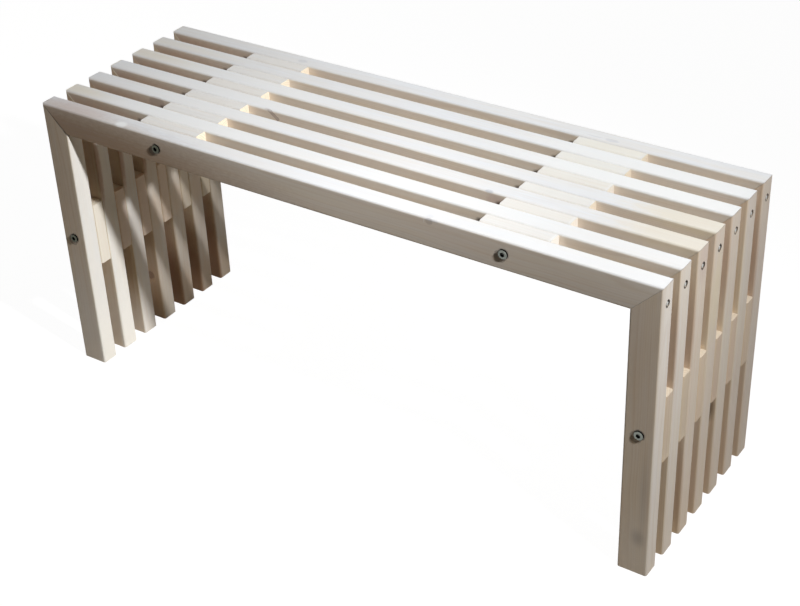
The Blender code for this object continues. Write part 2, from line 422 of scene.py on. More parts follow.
def make_softwood_group():
    """Solid softwood in a board's own space, with its grain along X, under a thin white wash painted paler
    where light falls.
    """
    graph, given, result = new_group(
        "softwood",
        [("Vector", "Vector"), ("Pith", "Vector"), ("Slope", "Vector"), ("Half Size", "Vector"),
         ("Ring Width", "Float"), ("Warmth", "Float"), ("Wash", "Float"), ("Bleach", "Float"),
         ("Seed", "Float"), ("End Grain", "Float"), ("Core", "Float"), ("Rim", "Float"), ("Lift", "Float")],
        [("Color", "Color"), ("Roughness", "Float"), ("Height", "Float")])
    place = given["Vector"]
    shifted = graph.vector("ADD", place, graph.scaled(SEED_SHIFT, given["Seed"]))

    # Growth rings round the pith, which drifts along the board
    along = graph.split(place)["X"]
    drift = graph.scaled(given["Slope"], along)
    from_pith = graph.vector("ADD", graph.vector("SUBTRACT", place, given["Pith"]), drift)
    from_pith = graph.vector("MULTIPLY", from_pith, (0, 1, 1))
    radius = graph.vector("LENGTH", from_pith, output="Value")
    warp = graph.spread(graph.noise(shifted, WARP_GRAIN), -RING_WARP / 2, RING_WARP / 2)
    radius = graph.math("ADD", graph.math("ADD", radius, warp), given["Lift"])
    turns = graph.math("DIVIDE", radius, given["Ring Width"])
    ring = graph.math("FRACT", turns)
    late = graph.math("MULTIPLY", graph.step(ring, *LATE_RISE), graph.step(ring, *LATE_FALL, 1.0, 0.0))
    year = graph.add("ShaderNodeTexWhiteNoise", noise_dimensions="1D")
    graph.feed(year.inputs["W"], graph.math("ADD", graph.math("FLOOR", turns), given["Seed"]))
    late = graph.math("MULTIPLY", late, graph.step(year.outputs["Value"], 0.0, 1.0, PALEST_YEAR, 1.0))

    # Fibres, slow changes of tone, and streaks of the wash
    fibre = graph.noise(shifted, FIBRE_GRAIN)
    tone = graph.noise(shifted, TONE_GRAIN)
    streak = graph.noise(shifted, STREAK_GRAIN, FINE_DETAIL)

    heart = graph.math("MULTIPLY", graph.spread(tone, 0.0, 1.0), given["Warmth"], clamp=True)
    wood = graph.mix(graph.math("MULTIPLY", late, LATE_SHARE), EARLY_WOOD, LATE_WOOD)
    wood = graph.mix(heart, wood, HEART_WOOD)
    cover = graph.math("ADD", given["Wash"], graph.spread(streak, -STREAK_SPREAD, STREAK_SPREAD))
    # Painted light: a paler wash where light falls on the face
    cover = graph.math("ADD", cover, given["Bleach"])
    cover = graph.math("SUBTRACT", cover, graph.math("MULTIPLY", late, LATE_BARE))
    cover = graph.math("SUBTRACT", cover, graph.math("MULTIPLY", given["Warmth"], HEART_BARE), clamp=True)
    wash = graph.mix(graph.spread(graph.noise(shifted, WASH_GRAIN), 0.0, 1.0), COOL_WASH, WARM_WASH)
    colour = graph.mix(cover, wood, wash)
    colour = graph.mix(graph.spread(fibre, 0.0, FIBRE_SHADE), colour, LATE_WOOD)

    # Knots, with their own fine rings
    knot_ring = graph.math("FRACT", graph.math("MULTIPLY", given["Lift"], KNOT_RINGS_PER_METRE))
    knot = graph.mix(graph.math("MULTIPLY", knot_ring, KNOT_RING_SHARE), KNOT_WOOD, KNOT_RIM)
    colour = graph.mix(graph.math("MULTIPLY", given["Core"], KNOT_CORE_SHARE), colour, knot)
    colour = graph.mix(graph.math("MULTIPLY", given["Rim"], KNOT_RIM_SHARE), colour, KNOT_RIM)

    # Sawn ends are bare and show the rings more
    end = graph.mix(graph.math("MULTIPLY", late, END_LATE_SHARE), SAWN_END, LATE_WOOD)
    end = graph.mix(graph.spread(fibre, 0.0, END_FIBRE_SHADE), end, HEART_WOOD)
    colour = graph.mix(graph.math("MULTIPLY", given["End Grain"], END_SHARE), colour, end)

    # Long edges, where the wash is rubbed thin
    size = graph.vector("SUBTRACT", given["Half Size"], graph.vector("ABSOLUTE", place))
    sides = graph.split(size)
    from_edge = graph.math("MAXIMUM", sides["Y"], sides["Z"])
    rubbed = graph.step(from_edge, 0.0, EDGE_WEAR_WIDTH, 1.0, 0.0)
    rubbed = graph.math("MULTIPLY", rubbed, graph.spread(streak, 0.0, RUBBED_SHARE), clamp=True)
    kept = graph.step(given["Bleach"], *RUBBED_LIT_RANGE, 1.0, RUBBED_WHERE_LIT)
    rubbed = graph.math("MULTIPLY", rubbed, kept)
    colour = graph.mix(rubbed, colour, EARLY_WOOD)
    graph.feed(result["Color"], colour)

    rough = graph.spread(fibre, *WOOD_ROUGHNESS)
    rough = graph.math("SUBTRACT", rough, graph.math("MULTIPLY", rubbed, RUBBED_POLISH))
    rough = graph.math("ADD", rough, graph.math("MULTIPLY", given["End Grain"], END_ROUGHNESS), clamp=True)
    graph.feed(result["Roughness"], rough)

    relief = graph.math("MULTIPLY", late, LATE_RELIEF)
    relief = graph.math("ADD", relief, graph.math("MULTIPLY", fibre, FIBRE_RELIEF))
    relief = graph.math("ADD", relief, graph.math("MULTIPLY", given["Core"], KNOT_RELIEF))
    graph.feed(result["Height"], relief)
    return graph.tree


KNOT_GROUP = make_knot_group()
MARK_GROUP = make_mark_group()
SOFTWOOD_GROUP = make_softwood_group()


class Board:
    """One timber node: its place, its size along and across the grain, and its own random draws."""

    def __init__(self, name):
        self.name = name
        low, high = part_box(name)
        self.centre = (low + high) / 2
        self.upright = "leg" in name
        self.spacer = "spacer" in name
        self.frame = int(name[-1])
        self.half = self.local_size((high - low) / 2)
        self.turn = (0.0, -math.pi / 2, 0.0) if self.upright else (0.0, 0.0, 0.0)
        self.draws = random.Random(name)

    def local(self, point):
        """A point of the bench, in the board's own space with the grain along X."""
        away = Vector(point) - self.centre
        return Vector((away.z, away.y, -away.x)) if self.upright else away

    def local_size(self, size):
        """A size along the bench's axes, turned to the board's own."""
        return Vector((size[2], size[1], size[0])) if self.upright else Vector(size)


SEAT_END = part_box("seat_rail_1")[1].x
SEAT_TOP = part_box("seat_rail_1")[1].z

# Reddish heartwood, wash, and painted light that makes faces paler where light falls:
# seven values go from the front frame to the back one, and two are the ends of a range
RAIL_WARMTH = (0.32, 0.15, 0.40, 0.45, 0.20, 0.35, 0.40)
LEG_WARMTH = (0.30, 0.25, 0.45, 0.50, 0.60, 0.50, 0.55)
SPACER_WARMTH = (0.50, 0.80)
RAIL_WASH = 0.42
LEG_WASH = (0.28, 0.13, 0.13, 0.13, 0.13, 0.13, 0.13)
SPACER_WASH = 0.08
WASH_SPREAD = 0.03
# Painted light: how much paler inner and outer leg faces and tops are made where light falls
INNER_LIT_PALENESS = (0.82, 0.82, 0.78, 0.46, 0.46, 0.44, 0.42)
OUTER_LIT_PALENESS = (0.27, 0.35, 0.22, 0.24, 0.26, 0.31, 0.26)
SEAT_LIT_PALENESS = 0.60
SPACER_LIT_PALENESS = 0.88

# Knots: board, point on its surface, the branch's direction in the bench, and radius
KNOTS = (
    ("seat_rail_4", (-0.188, -0.0128, 0.445), (0.80, 0.10, -0.60), 0.0023),
    ("left_leg_4", (-0.476, -0.0128, 0.081), (0.10, 0.99, 0.00), 0.0058),
    ("seat_rail_7", (0.060, 0.1625, 0.430), (0.20, 0.97, 0.10), 0.0060),
    ("seat_rail_7", (-0.330, 0.1625, 0.421), (-0.10, 0.97, 0.20), 0.0035),
    ("left_leg_7", (-0.482, 0.1625, 0.120), (0.15, 0.98, 0.10), 0.0050),
    ("right_leg_7", (0.474, 0.1625, 0.300), (0.10, 0.98, -0.15), 0.0040),
    ("left_leg_2", (-0.500, -0.0990, 0.150), (0.97, 0.05, 0.20), 0.0045),
    ("left_leg_5", (-0.500, 0.0510, 0.330), (0.98, 0.10, 0.10), 0.0035),
    ("seat_rail_2", (-0.120, -0.0970, 0.407), (0.15, 0.10, 0.98), 0.0050),
    ("seat_rail_5", (0.180, 0.0510, 0.407), (-0.20, 0.05, 0.97), 0.0055),
    ("seat_rail_6", (-0.060, 0.1000, 0.407), (0.10, -0.10, 0.98), 0.0035),
)

# Marks: board, point on it, reach along the bench's axes, firmness, colour and strength
MARKS = (
    # Painted shade: the front rail darker at its left end, on its front and top, and the left front leg
    # darker towards the top
    ("seat_rail_1", (-0.5000, -0.1650, 0.4050), (0.5500, 0.0500, 0.0650), 0.30, TAN, 0.72),
    ("seat_rail_1", (-0.4400, -0.1460, 0.4520), (0.0950, 0.0320, 0.0100), 0.25, ROSE, 0.45),
    ("left_leg_1", (-0.4800, -0.1650, 0.4500), (0.0600, 0.0500, 0.3000), 0.40, TAN, 0.16),
    # Painted light: the front legs' feet paler on their fronts, where the floor lights them
    ("left_leg_1", (-0.4785, -0.1600, 0.0000), (0.0500, 0.0060, 0.2600), 0.20, PAINTED_FLOOR_LIGHT, 0.65),
    ("right_leg_1", (0.4785, -0.1600, 0.0000), (0.0500, 0.0060, 0.1600), 0.20, PAINTED_FLOOR_LIGHT, 0.40),
    # Painted shade: the right front leg's front darker towards the top
    ("right_leg_1", (0.4785, -0.1650, 0.4500), (0.0600, 0.0200, 0.3000), 0.30, TAN, 0.16),
    # Painted light: the feet of left legs 1 and 2 paler on their inner faces, where light falls
    ("left_leg_1", (-0.4575, -0.1460, 0.0000), (0.0080, 0.0300, 0.1500), 0.40, FILLER_AND_PAINTED_LIGHT, 1.00),
    ("left_leg_2", (-0.4575, -0.0970, 0.0000), (0.0080, 0.0300, 0.1500), 0.40, FILLER_AND_PAINTED_LIGHT, 1.00),
    # Painted light: the feet of left legs 2 to 4 paler on their fronts, where the floor lights them
    ("left_leg_2", (-0.4700, -0.1110, 0.0000), (0.0400, 0.0050, 0.1700), 0.30, PAINTED_FLOOR_LIGHT, 0.45),
    ("left_leg_3", (-0.4700, -0.0619, 0.0000), (0.0400, 0.0050, 0.1000), 0.30, PAINTED_FLOOR_LIGHT, 0.45),
    ("left_leg_4", (-0.4700, -0.0128, 0.0000), (0.0400, 0.0050, 0.1400), 0.30, BLUSH, 0.40),
    ("left_leg_4", (-0.4760, -0.0128, 0.0810), (0.0090, 0.0040, 0.0130), 0.20, RUSSET, 0.45),
    # Painted shade: a warmer colour on the shaded inner faces of left legs 4 to 7
    ("left_leg_4", (-0.4575, 0.0012, 0.2000), (0.0080, 0.0200, 0.0450), 0.30, BLUSH, 0.30),
    ("left_leg_5", (-0.4575, 0.0503, 0.0000), (0.0080, 0.0200, 0.0950), 0.45, BLUSH, 0.45),
    ("left_leg_5", (-0.4575, 0.0503, 0.2000), (0.0080, 0.0200, 0.0450), 0.30, BLUSH, 0.35),
    ("left_leg_6", (-0.4575, 0.0994, 0.0000), (0.0080, 0.0200, 0.0950), 0.45, BLUSH, 0.45),
    ("left_leg_6", (-0.4575, 0.0994, 0.2000), (0.0080, 0.0200, 0.0450), 0.30, BLUSH, 0.40),
    ("left_leg_7", (-0.4575, 0.1485, 0.0000), (0.0080, 0.0200, 0.0950), 0.45, BLUSH, 0.45),
    ("seat_rail_1", (-0.3500, -0.1535, 0.4495), (0.0125, 0.0095, 0.0035), 0.45, FILLER_AND_PAINTED_LIGHT, 1.00),
    ("seat_rail_1", (0.1735, -0.1605, 0.4460), (0.0065, 0.0040, 0.0062), 0.60, GREY_BROWN, 0.34),
    ("seat_rail_1", (0.1770, -0.1595, 0.4480), (0.0140, 0.0035, 0.0020), 0.45, BLUE_GREY, 0.40),
    ("seat_rail_1", (0.1660, -0.1605, 0.4445), (0.0009, 0.0030, 0.0040), 0.45, FILLER_AND_PAINTED_LIGHT, 0.40),
    ("seat_rail_1", (0.1720, -0.1540, 0.4500), (0.0080, 0.0060, 0.0020), 0.30, BLUE_GREY, 0.18),
    ("seat_rail_3", (0.2030, -0.0605, 0.4495), (0.0080, 0.0045, 0.0030), 0.45, BLUE_GREY, 0.60),
    ("seat_rail_3", (0.2130, -0.0620, 0.4370), (0.0180, 0.0040, 0.0140), 0.45, ROSE, 0.50),
    ("seat_rail_3", (-0.3640, -0.0620, 0.4370), (0.0180, 0.0040, 0.0200), 0.70, PLUM, 0.35),
    ("seat_rail_3", (0.5000, -0.0480, 0.4500), (0.1600, 0.0300, 0.0200), 0.45, CREAM, 0.45),
    ("seat_rail_4", (0.5000, 0.0012, 0.4500), (0.1600, 0.0300, 0.0200), 0.45, CREAM, 0.50),
    ("seat_rail_4", (-0.1970, -0.0110, 0.4490), (0.0080, 0.0035, 0.0025), 0.30, PLUM, 0.40),
    ("seat_rail_7", (-0.2500, 0.1450, 0.4500), (0.0110, 0.0070, 0.0030), 0.40, BLUE_GREY, 0.28),
    ("seat_rail_7", (0.2760, 0.1430, 0.4500), (0.0130, 0.0050, 0.0030), 0.60, BLUE_GREY, 0.28),
    ("seat_rail_7", (0.2500, 0.1430, 0.4500), (0.0160, 0.0020, 0.0030), 0.40, BLUE_GREY, 0.25),
    ("right_leg_1", (0.4850, -0.1600, 0.0600), (0.0150, 0.0040, 0.0220), 0.00, SMUDGE, 0.38),
    ("right_leg_1", (0.4900, -0.1600, 0.1300), (0.0090, 0.0040, 0.1000), 0.00, SMUDGE, 0.20),
    # Painted shade: the fronts of the right legs darker in the gaps between the legs
    ("right_leg_2", (0.4870, -0.1110, 0.3300), (0.0400, 0.0040, 0.1100), 0.30, RUSSET, 0.40),
    ("right_leg_3", (0.4870, -0.0619, 0.3300), (0.0400, 0.0040, 0.1100), 0.30, RUSSET, 0.35),
    ("right_leg_3", (0.4870, -0.0619, 0.0800), (0.0400, 0.0040, 0.0900), 0.30, RUSSET, 0.30),
    ("right_leg_3", (0.5000, -0.0480, 0.4300), (0.0040, 0.0200, 0.0500), 0.30, ROSE, 0.40),
    ("right_leg_4", (0.5000, 0.0012, 0.3500), (0.0040, 0.0200, 0.0900), 0.30, CREAM, 0.50),
    # Painted shade in the gap before right leg 5
    ("right_leg_5", (0.4870, 0.0364, 0.3700), (0.0400, 0.0040, 0.0700), 0.30, RUSSET, 0.25),
    ("right_leg_5", (0.4900, 0.0364, 0.1500), (0.0100, 0.0030, 0.0330), 0.15, BARK, 0.70),
    # Painted shade in the gap before right leg 7
    ("right_leg_7", (0.4870, 0.1346, 0.3000), (0.0400, 0.0040, 0.1600), 0.30, RUSSET, 0.40),
    ("right_seat_spacer_1", (0.3325, -0.1215, 0.4400), (0.0040, 0.0200, 0.0300), 0.50, FILLER_AND_PAINTED_LIGHT, 0.60),
    ("right_seat_spacer_2", (0.3325, -0.0724, 0.4400), (0.0040, 0.0200, 0.0300), 0.50, FILLER_AND_PAINTED_LIGHT, 0.40),
    ("right_seat_spacer_4", (0.3325, 0.0258, 0.4400), (0.0040, 0.0200, 0.0300), 0.50, FILLER_AND_PAINTED_LIGHT, 0.40),
    ("right_leg_spacer_1", (0.5000, -0.1215, 0.2270), (0.0040, 0.0200, 0.0700), 0.50, GREY_BROWN, 0.20),
    ("right_leg_spacer_2", (0.5000, -0.0724, 0.2270), (0.0040, 0.0200, 0.0700), 0.50, GREY_BROWN, 0.16),
    ("right_leg_spacer_4", (0.5000, 0.0258, 0.2270), (0.0040, 0.0200, 0.0700), 0.50, GREY_BROWN, 0.16),
    ("seat_rail_1", (0.4100, -0.1460, 0.4520), (0.2000, 0.0300, 0.0080), 0.45, FILLER_AND_PAINTED_LIGHT, 0.42),
    ("seat_rail_2", (-0.2800, -0.0970, 0.4520), (0.2500, 0.0300, 0.0080), 0.40, FILLER_AND_PAINTED_LIGHT, 0.70),
    ("seat_rail_2", (0.0800, -0.0970, 0.4520), (0.7000, 0.0300, 0.0080), 0.60, FILLER_AND_PAINTED_LIGHT, 0.38),
    ("seat_rail_3", (-0.2800, -0.0480, 0.4520), (0.2500, 0.0300, 0.0080), 0.40, FILLER_AND_PAINTED_LIGHT, 0.50),
    ("seat_rail_4", (-0.2800, 0.0012, 0.4520), (0.2500, 0.0300, 0.0080), 0.40, FILLER_AND_PAINTED_LIGHT, 0.50),
    ("seat_rail_5", (-0.2800, 0.0503, 0.4520), (0.2500, 0.0300, 0.0080), 0.40, FILLER_AND_PAINTED_LIGHT, 0.50),
    ("seat_rail_5", (0.3600, 0.0503, 0.4520), (0.2600, 0.0300, 0.0080), 0.45, FILLER_AND_PAINTED_LIGHT, 0.95),
    ("seat_rail_6", (0.3600, 0.0994, 0.4520), (0.2600, 0.0300, 0.0080), 0.45, FILLER_AND_PAINTED_LIGHT, 0.80),
    ("seat_rail_2", (-0.5000, -0.0970, 0.4520), (0.1200, 0.0200, 0.0080), 0.30, CREAM, 0.42),
    ("seat_rail_5", (-0.5000, 0.0503, 0.4520), (0.1800, 0.0200, 0.0080), 0.30, CREAM, 0.35),
    ("seat_rail_6", (-0.5000, 0.0994, 0.4520), (0.2200, 0.0200, 0.0080), 0.30, CREAM, 0.25),
)

# Marks of painted shade and shadow that follow a rule: reach in metres, firmness, colour and strength
# Painted shade at the left end of a rail's front side
SHADED_END_MARK = ((0.260, 0.012, 0.024), 0.30, UMBER, 0.50)
# Painted shadow in the gap beside a seat spacer's left end
SPACER_SHADOW_MARK = ((0.0075, 0.0040, 0.0060), 0.05, SEAM_DIRT_AND_SHADOW, 0.75)
# Painted shade in the bores of the corner screws
NEAR_BORE_MARK = ((0.0200, 0.0058, 0.0058), 0.93, DEEP_SHADE, 0.92)
FAR_BORE_MARK = ((0.0200, 0.0058, 0.0058), 0.93, DEEP_SHADE, 0.72)
# Painted shadow of a bolt head below and left of it, and painted shade round the head
BOLT_SHADOW_MARK = ((0.0095, 0.0040, 0.0092), 0.80, DEEP_SHADE, 0.42)
BOLT_SHADE_MARK = ((0.0095, 0.0040, 0.0095), 0.60, DEEP_SHADE, 0.80)
LOW_GAP_SHADE = ((0.0600, 0.0060, 0.2000), 0.30, UMBER, 0.70)
HIGH_GAP_SHADE = ((0.0600, 0.0060, 0.2000), 0.30, UMBER, 0.28)
GAP_EDGE_SHADE = ((0.0045, 0.0100, 0.0800), 0.40, UMBER, 0.62)

# Where those marks of painted shade and shadow lie, in metres, and how many frames from the front count as
# near
SHADED_END_DEPTH = 0.020
SPACER_SHADOW_OFFSET = {"left": Vector((-0.0205, 0.0, -0.0145)), "right": Vector((-0.0130, 0.0, -0.0145))}
BORE_SHADE_OFFSET = Vector((0.0, -0.0006, 0.0004))
BOLT_SHADOW_OFFSET = Vector((-0.0050, 0.0, -0.0048))
GAP_EDGE_HEIGHT = 0.325
NEAR_FRAMES = 4

# Cream on the seat spacers' tops, which on the right grows from frame to frame
SPACER_CREAM_REACH = (0.0700, 0.0300, 0.0100)
SPACER_CREAM_FIRM = 0.6
LEFT_CREAM = 0.15
RIGHT_CREAM = 0.10
RIGHT_CREAM_GROWTH = 0.06

# Painted light and shade on the inner faces at the left end, from the front: paler tints where light falls
# and warmer ones in shade; colour and strength
INNER_TINT_REACH = (0.0100, 0.0300, 0.4000)
INNER_TINT_FIRM = 0.6
LEG_TINTS = ((PALE_CREAM, 0.32), (PALE_CREAM, 0.30), (CREAM, 0.20), (CREAM, 0.18), (CREAM, 0.15),
             (CREAM, 0.12), (CREAM, 0.20))
SPACER_TINTS = ((GLUE_AND_PAINTED_LIGHT, 0.60), (BLUSH, 0.50), (BLUSH, 0.55), (BLUSH, 0.45), (CREAM, 0.35), (CREAM, 0.50))

# Left mitres whose joint line shows: frame, colour, half width at its outer and inner ends, and strength
SEAMS = (
    (1, SEAM_DIRT_AND_SHADOW, 0.0003, 0.0016, 0.92),
    (2, GLUE_AND_PAINTED_LIGHT, 0.0012, 0.0012, 0.85),
    (4, GLUE_AND_PAINTED_LIGHT, 0.0012, 0.0012, 0.85),
    (7, GLUE_AND_PAINTED_LIGHT, 0.0010, 0.0010, 0.60),
)

# Where a joint line fades, in half widths, and how worn it is along its length
SEAM_EDGE = (1.0, 2.0)
SEAM_WEAR = (0.6, 1.0)


def knots_of(board):
    """The board's knots in its own space."""
    found = []
    for name, point, direction, radius in KNOTS:
        if name == board.name:
            axis = board.local(board.centre + Vector(direction))
            found.append((board.local(point), axis.normalized(), radius))
    return found


def screw_axis_point(leg_name, depth):
    """The point on a corner screw's axis at a depth below the leg's outer face."""
    low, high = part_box(leg_name)
    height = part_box(leg_name.split("_")[0] + "_leg_1")[1].z - STOCK_WIDTH + SCREW_ABOVE_UNDERSIDE
    x = high.x - depth if high.x > 0 else low.x + depth
    return Vector((x, (low.y + high.y) / 2, height))


def rail_marks(board, low, high):
    """The painted shade at the left end of a rail's front side, and the painted shadow by its spacers' left
    ends.
    """
    marks = [(Vector((-SEAT_END, low.y, high.z - SHADED_END_DEPTH)), *SHADED_END_MARK)]
    for side, offset in SPACER_SHADOW_OFFSET.items():
        spacer_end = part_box(f"{side}_seat_spacer_{board.frame - 1}")[0].x
        marks.append((Vector((spacer_end, low.y, high.z)) + offset, *SPACER_SHADOW_MARK))
    return marks


def seat_spacer_marks(board, high):
    """The cream on top of a seat spacer."""
    strength = LEFT_CREAM if board.centre.x < 0 else RIGHT_CREAM + RIGHT_CREAM_GROWTH * board.frame
    top = Vector((board.centre.x, board.centre.y, high.z))
    return [(top, SPACER_CREAM_REACH, SPACER_CREAM_FIRM, PALE_CREAM, strength)]


def bore_marks(board):
    """The painted shade in the bore of a leg's corner screw."""
    bore = screw_axis_point(board.name, 0.0) + BORE_SHADE_OFFSET
    return [(bore, *(NEAR_BORE_MARK if board.frame <= NEAR_FRAMES else FAR_BORE_MARK))]


def left_end_marks(board, low, high):
    """The painted light and shade on a left leg's or spacer's inner face, and the painted shade in the gap
    before a leg.
    """
    tints = SPACER_TINTS if board.spacer else LEG_TINTS
    inner_face = Vector((high.x, board.centre.y, board.centre.z))
    marks = [(inner_face, INNER_TINT_REACH, INNER_TINT_FIRM, *tints[board.frame - 1])]
    if board.spacer or board.frame == 1:
        return marks
    if board.frame > NEAR_FRAMES:
        marks.append((Vector((board.centre.x, low.y, low.z)), *LOW_GAP_SHADE))
    else:
        marks.append((Vector((board.centre.x, low.y, high.z)), *HIGH_GAP_SHADE))
        marks.append((Vector((high.x, low.y, GAP_EDGE_HEIGHT)), *GAP_EDGE_SHADE))
    return marks


def bolt_marks(low, high):
    """The painted shadow below and left of each bolt head, and painted shade round the head, on a front board
    that spans from low to high.
    """
    marks = []
    for name in NODES:
        if name.endswith("bolt"):
            bolt_low, bolt_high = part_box(name)
            head = (bolt_low + bolt_high) / 2
            head.y = low.y
            if low.x < head.x < high.x and low.z < head.z < high.z:
                marks.append((head + BOLT_SHADOW_OFFSET, *BOLT_SHADOW_MARK))
                marks.append((head, *BOLT_SHADE_MARK))
    return marks


def marks_of(board):
    """The board's marks in its own space: those listed for it, and then those that follow a rule."""
    marks = [mark[1:] for mark in MARKS if mark[0] == board.name]
    low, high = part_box(board.name)
    in_front = board.frame == 1
    if not board.upright and not board.spacer and not in_front:
        marks += rail_marks(board, low, high)
    if not board.upright and board.spacer:
        marks += seat_spacer_marks(board, high)
    if board.upright and not board.spacer:
        marks += bore_marks(board)
    if board.upright and board.centre.x < 0:
        marks += left_end_marks(board, low, high)
    if in_front and not board.spacer:
        marks += bolt_marks(low, high)
    return [(board.local(point), board.local_size(reach), firm, colour, strength)
            for point, reach, firm, colour, strength in marks]


def add_seams(graph, board, place, colour):
    """Tints the wood along the left mitres whose joint line shows."""
    for number, tint, outer, inner, strength in SEAMS:
        if board.spacer or board.frame != number or board.name.startswith("right"):
            continue
        parts = graph.split(place)
        below_top = graph.math("SUBTRACT", SEAT_TOP, parts["Z"])
        from_end = graph.math("ADD", SEAT_END, parts["X"])
        off = graph.math("ABSOLUTE", graph.math("SUBTRACT", from_end, below_top))
        width = graph.step(below_top, 0.0, STOCK_WIDTH, outer, inner)
        worn = graph.spread(graph.noise(place, SEAM_GRAIN), *SEAM_WEAR)
        line = graph.step(graph.math("DIVIDE", off, width), *SEAM_EDGE, strength, 0.0)
        colour = graph.mix(graph.math("MULTIPLY", line, worn, clamp=True), colour, tint)
    return colour


def board_knots(graph, board, place):
    """The core, rim and lifted grain of all the board's knots."""
    core, rim, lift = 0.0, 0.0, 0.0
    for centre, axis, radius in knots_of(board):
        knot = use_group(graph, KNOT_GROUP, Vector=place, Centre=centre, Direction=axis, Radius=radius)
        core = graph.math("MAXIMUM", knot["Core"], core)
        rim = graph.math("MAXIMUM", knot["Rim"], rim)
        lift = graph.math("ADD", knot["Lift"], lift)
    return core, rim, lift


def board_faces(graph, board):
    """Which faces are sawn ends, and the painted light that makes tops, or a leg's outer and inner sides,
    paler where light falls.
    """
    normal = graph.split(graph.add("ShaderNodeNewGeometry").outputs["True Normal"])
    if board.upright:
        facing_end = graph.math("ABSOLUTE", normal["Z"])
        outward = graph.math("MULTIPLY", normal["X"], math.copysign(1.0, board.centre.x))
        low, high = FACING_SIDE
        outer = 0.0 if board.spacer else OUTER_LIT_PALENESS[board.frame - 1]
        lit_paleness = graph.math("ADD", graph.step(outward, low, high, 0.0, outer),
                            graph.step(outward, -high, -low, INNER_LIT_PALENESS[board.frame - 1], 0.0))
    else:
        facing_end = graph.math("ABSOLUTE", normal["X"])
        lit_paleness = graph.step(normal["Z"], *FACING_UP, 0.0, SPACER_LIT_PALENESS if board.spacer else SEAT_LIT_PALENESS)
    return graph.step(facing_end, *FACING_END), lit_paleness


def board_material(board):
    """The board's own wood: the same softwood, cut from its own place in its own tree."""
    material, graph, shader = new_material(board.name + "_wood")
    draws = board.draws
    coordinates = graph.add("ShaderNodeTexCoord").outputs["Object"]
    mapping = graph.add("ShaderNodeMapping", vector_type="TEXTURE")
    graph.feed(mapping.inputs["Vector"], coordinates)
    graph.feed(mapping.inputs["Location"], board.centre)
    graph.feed(mapping.inputs["Rotation"], board.turn)
    place = mapping.outputs["Vector"]

    core, rim, lift = board_knots(graph, board, place)
    end_grain, lit_paleness = board_faces(graph, board)
    pith_angle = draws.uniform(0, 2 * math.pi)
    pith_distance = draws.uniform(*PITH_DISTANCE)
    if board.spacer:
        warmth = draws.uniform(*SPACER_WARMTH)
        wash = SPACER_WASH
    elif board.upright:
        warmth = LEG_WARMTH[board.frame - 1]
        wash = LEG_WASH[board.frame - 1]
    else:
        warmth = RAIL_WARMTH[board.frame - 1]
        wash = RAIL_WASH
    wash += draws.uniform(-WASH_SPREAD, WASH_SPREAD)
    wood = use_group(
        graph, SOFTWOOD_GROUP, Vector=place,
        Pith=(0.0, pith_distance * math.cos(pith_angle), pith_distance * math.sin(pith_angle)),
        Slope=(0.0, draws.uniform(-GRAIN_SLOPE, GRAIN_SLOPE), draws.uniform(-GRAIN_SLOPE, GRAIN_SLOPE)),
        Half_Size=board.half,
        Ring_Width=draws.uniform(*RING_WIDTH),
        Warmth=warmth, Wash=wash, Bleach=lit_paleness,
        Seed=draws.uniform(*SEED_RANGE),
        End_Grain=end_grain,
        Core=core, Rim=rim, Lift=lift)
    colour = wood["Color"]
    for centre, reach, firm, tint, strength in marks_of(board):
        mark = use_group(graph, MARK_GROUP, Vector=place, Centre=centre, Reach=reach, Firm=firm)
        colour = graph.mix(graph.math("MULTIPLY", mark["Cover"], strength), colour, tint)
    colour = add_seams(graph, board, coordinates, colour)
    graph.feed(shader.inputs["Base Color"], colour)
    graph.feed(shader.inputs["Roughness"], wood["Roughness"])
    add_bump(graph, shader, wood["Height"], RELIEF_STRENGTH, RELIEF_HEIGHT)
    shader.inputs["Specular IOR Level"].default_value = WOOD_SPECULAR
    return material


def make_smooth_shading():
    """Geometry nodes that join a mesh's split corners and shade its round faces smooth."""
    tree = bpy.data.node_groups.new("smooth_shading", "GeometryNodeTree")
    tree.is_modifier = True
    for side in ("INPUT", "OUTPUT"):
        tree.interface.new_socket("Geometry", in_out=side, socket_type="NodeSocketGeometry")
    graph = Graph(tree)
    shape = graph.add("NodeGroupInput").outputs["Geometry"]
    bare = graph.add("GeometryNodeRemoveAttribute")
    graph.feed(bare.inputs["Geometry"], shape)
    graph.feed(bare.inputs["Name"], "custom_normal")
    joined = graph.add("GeometryNodeMergeByDistance")
    graph.feed(joined.inputs["Geometry"], bare.outputs["Geometry"])
    graph.feed(joined.inputs["Distance"], MERGE_DISTANCE)
    smooth = graph.add("GeometryNodeSetShadeSmooth", domain="FACE")
    graph.feed(smooth.inputs["Geometry"], joined.outputs["Geometry"])
    angle = graph.add("GeometryNodeInputMeshEdgeAngle").outputs["Unsigned Angle"]
    sharp = graph.add("FunctionNodeCompare", operation="GREATER_THAN")
    graph.feed(sharp.inputs["A"], angle)
    graph.feed(sharp.inputs["B"], SHARP_ANGLE)
    creased = graph.add("GeometryNodeSetShadeSmooth", domain="EDGE")
    graph.feed(creased.inputs["Geometry"], smooth.outputs["Geometry"])
    graph.feed(creased.inputs["Selection"], sharp.outputs["Result"])
    graph.feed(creased.inputs["Shade Smooth"], False)
    graph.feed(graph.add("NodeGroupOutput").inputs["Geometry"], creased.outputs["Geometry"])
    return tree


SMOOTH_SHADING = make_smooth_shading()


def dress(node, material):
    """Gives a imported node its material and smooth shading."""
    node.data.materials.clear()
    node.data.materials.append(material)
    node.modifiers.new("smooth_shading", "NODES").node_group = SMOOTH_SHADING
    even = node.modifiers.new("even_normals", "WEIGHTED_NORMAL")
    even.keep_sharp = True


